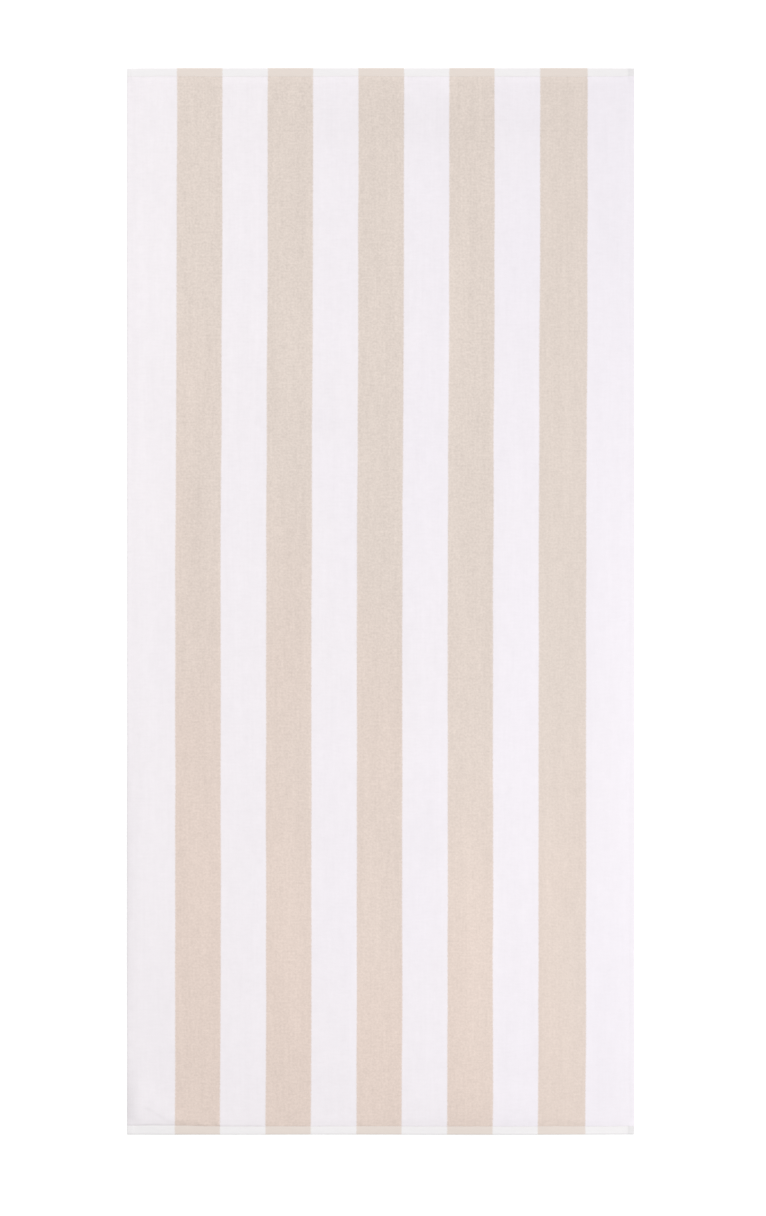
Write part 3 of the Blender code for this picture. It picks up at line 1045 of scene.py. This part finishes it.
# %% [markdown]
# ## The edge of the pile
# Where the pile meets an end hem its last tufts have no neighbours to hold them up, so they
# lean out over the stitches and make a ragged edge. Each is a small three-sided spike in two
# lengths, and three staggered rows of them follow each seam. All their points are one array:
# the same seven points for every tuft, scaled, turned and leaned by its own random numbers.
# A real tuft is a soft brush, which has no dark side. So the directions in which its faces are
# shaded, its normals, are turned nearly upwards, and it takes the light as the pile does.

# %% Tufts
TUFT_STEP = 0.0011
TUFT_ROWS = (0.0006, 0.0013, 0.0021)  # distances inwards from the stitches
TUFT_WIDE = (0.00035, 0.00060)  # least and most radius at the root
TUFT_TALL = (0.00008, 0.00030)
TUFT_LEAN = (0.0002, 0.0008)
TUFT_SUNK = 0.0003
TUFT_SCATTER = 0.3  # share of a step by which a tuft stands off its place
TUFT_UPRIGHT = 4.0  # how far the directions in which a tuft is shaded turn upwards
TUFT_SEED = 31
ROOT, WAIST, TIP = (0, 0, 1), (0.35, 0.6, 0.8), (1, 1, 0)  # shares of the lean, height and radius
# A tuft's walls and caps by the numbers of its points: root 0 to 2, waist 3 to 5, tip 6
WALLS = np.array([(0, 1, 4, 3), (1, 2, 5, 4), (2, 0, 3, 5)])
CAPS = np.array([(3, 4, 6), (4, 5, 6), (5, 3, 6), (2, 1, 0)])
# Heights in a tuft's own square of the bake, with the cap under its root above its tip
ROOT_AT, WAIST_AT, TIP_AT, CAP_FROM, CAP_TO = 0.05, 0.50, 0.85, 0.88, 0.98
FILL = 0.9  # how much of the square is used


def tuft_places():
    """Flat places of all tufts, with the direction in which each leans."""
    x, y, lean_y = [], [], []
    for start, heading in END_ROWS.values():
        for row, inwards in enumerate(TUFT_ROWS):
            along = np.arange(-END_RUN, END_RUN, TUFT_STEP) + (row % 2) * TUFT_STEP / 2
            row_x, row_y = onto_seam(along, np.full(len(along), start[1]), heading, inwards)
            x.append(row_x)
            y.append(row_y)
            lean_y.append(np.sign(row_y))
    return tuple(np.concatenate(part) for part in (x, y, lean_y))


def tuft_bake(count):
    """Places of all the corners of the walls and of the caps, each tuft in a square of its own."""
    third = np.arange(3)[:, None] / 3
    wall_heights = (ROOT_AT, ROOT_AT, WAIST_AT, WAIST_AT)
    on_walls = np.stack([third + (0, 1 / 3, 1 / 3, 0), 0 * third + wall_heights], -1)
    on_tip = np.stack([third + (0, 1 / 3, 1 / 6), 0 * third + (WAIST_AT, WAIST_AT, TIP_AT)], -1)
    on_root = np.array([[(ROOT_AT, CAP_FROM), (1 - ROOT_AT, CAP_FROM), (0.5, CAP_TO)]])
    side = int(np.ceil(np.sqrt(count)))
    square = np.stack([np.arange(count) % side, np.arange(count) // side], -1)[:, None, None]
    spreads = (on_walls, np.concatenate([on_tip, on_root]))
    return np.concatenate([((square + FILL * spread) / side).reshape(-1, 2) for spread in spreads])


def tufts(name, finish):
    """All tufts as one piece: a root ring and a waist ring of three points each, and a tip."""
    x, y, lean_y = tuft_places()
    random = np.random.default_rng(TUFT_SEED)
    count = len(x)
    x = x + random.uniform(-TUFT_SCATTER, TUFT_SCATTER, count) * TUFT_STEP
    y = y + random.uniform(-TUFT_SCATTER, TUFT_SCATTER, count) * TUFT_STEP
    wide = random.uniform(*TUFT_WIDE, count)
    tall = random.uniform(*TUFT_TALL, count)
    lean = random.uniform(*TUFT_LEAN, count)
    first_turn = random.uniform(0, 2 * np.pi, count)
    plan_x, plan_y = plan(x, y)
    face_z, _ = heights(x, y)

    out, up, round_share = np.array(3 * [ROOT] + 3 * [WAIST] + [TIP]).T
    turn = 2 * np.pi * np.array([0, 1, 2, 0, 1, 2, 0]) / 3
    angle = first_turn[:, None] + turn
    radius = wide[:, None] * round_share
    point_x = plan_x[:, None] + radius * np.cos(angle)
    point_y = plan_y[:, None] + radius * np.sin(angle) + (lean_y * lean)[:, None] * out
    point_z = face_z[:, None] - TUFT_SUNK + (tall + TUFT_SUNK)[:, None] * up
    points = np.stack([point_x, point_y, point_z], -1).reshape(-1, 3)
    offset = len(turn) * np.arange(count)[:, None, None]
    faces = [(kind + offset).reshape(-1, kind.shape[1]) for kind in (WALLS, CAPS)]

    corners = np.concatenate([np.repeat(np.arange(count), kind.size) for kind in (WALLS, CAPS)])
    maps = {
        "laid_flat": np.stack([x, y], -1)[corners],
        "from_seams": np.stack(seams(x, y), -1)[corners],
        "OFBake": tuft_bake(count),
    }
    piece = new_piece(name, points, faces, maps, [finish])
    outwards = radius[..., None] * np.stack([np.cos(angle), np.sin(angle), 0 * angle], -1)
    leaned = TUFT_UPRIGHT * np.array([0, 0, 1]) + outwards / wide[:, None, None]
    leaned /= np.linalg.norm(leaned, axis=-1, keepdims=True)
    piece.data.normals_split_custom_set_from_vertices(leaned.reshape(-1, 3).tolist())
    return piece


sewn_pieces.append(tufts("pile_edge", cloth_finishes[VELOUR]))

# %% [markdown]
# ## The floor and the light
# The picture has a plain white ground and soft light from every side, a little stronger from
# the far right. A sun as wide as a bright window gives that side its light, the world gives
# the rest, and two faint lamps lift the far left and the near right.

# %% Floor
FLOOR_HALF = 20.0
FLOOR_UNDER = 0.0003  # just under the cloth, so that the two surfaces never meet
FLOOR_LOOK = {
    "Base Color": (0.70, 0.70, 0.70, 1.0),
    "Roughness": 0.9,
    "Specular IOR Level": 0.0,
    "Emission Color": (1.0, 1.0, 1.0, 1.0),
    "Emission Strength": 0.40,  # a sheet of paper lit from below, so that hardly a shadow shows
}

floor_mesh = bpy.data.meshes.new("floor")
floor_corners = FLOOR_HALF * np.array([(-1, -1), (1, -1), (1, 1), (-1, 1)])
floor_points = np.column_stack([floor_corners, np.full(4, -FLOOR_UNDER)])
floor_mesh.from_pydata(floor_points.tolist(), [], [(0, 1, 2, 3)])
floor = bpy.data.objects.new("floor", floor_mesh)
scene.collection.objects.link(floor)
floor_paint = bpy.data.materials.new("floor paint")
floor_paint.use_nodes = True
for title, value in FLOOR_LOOK.items():
    floor_paint.node_tree.nodes["Principled BSDF"].inputs[title].default_value = value
floor_mesh.materials.append(floor_paint)

# %% Light
SUN_FROM = (0.28, 0.60, 1.0)  # direction towards the light
SUN_STRENGTH = 1.54
SUN_WIDE = 35.0  # degrees
SKY = 0.56
# Columns: place, watts
LAMPS = {"far left": ((-0.9, 0.7, 1.0), 0.9), "near right": ((0.9, -0.3, 1.0), 1.8)}
LAMP_WIDE = 0.4

sun_data = bpy.data.lights.new("window", "SUN")
sun_data.energy = SUN_STRENGTH
sun_data.angle = np.radians(SUN_WIDE)
sun = bpy.data.objects.new("window", sun_data)
sun.rotation_euler = Vector(SUN_FROM).to_track_quat("Z", "Y").to_euler()
scene.collection.objects.link(sun)
for title, (place, watts) in LAMPS.items():
    lamp_data = bpy.data.lights.new(title, "AREA")
    lamp_data.energy = watts
    lamp_data.size = LAMP_WIDE
    lamp = bpy.data.objects.new(title, lamp_data)
    lamp.location = place
    scene.collection.objects.link(lamp)

world = bpy.data.worlds.new("studio")
scene.world = world
world.use_nodes = True
sky = world.node_tree.nodes["Background"]
rays = world.node_tree.nodes.new("ShaderNodeLightPath")
strength = world.node_tree.nodes.new("ShaderNodeMapRange")
strength.inputs["To Min"].default_value = SKY
strength.inputs["To Max"].default_value = 1.0
world.node_tree.links.new(rays.outputs["Is Camera Ray"], strength.inputs["Value"])
world.node_tree.links.new(strength.outputs["Result"], sky.inputs["Strength"])
sky.inputs["Color"].default_value = (1, 1, 1, 1)
scene.view_settings.view_transform = "Standard"
print("light: one wide sun, two faint lamps and the sky")

# %% [markdown]
# ## The pieces and the solid
# The cloth and the sewn pieces hang from the root body, and the solid that the cloth stands for
# is hidden. Each hem is turned under twice, so the cut is wider by two hems on each
# side, and longer by two hems at each end.

for piece in [towel_cloth] + sewn_pieces:
    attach(piece, "root")
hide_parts("towel")
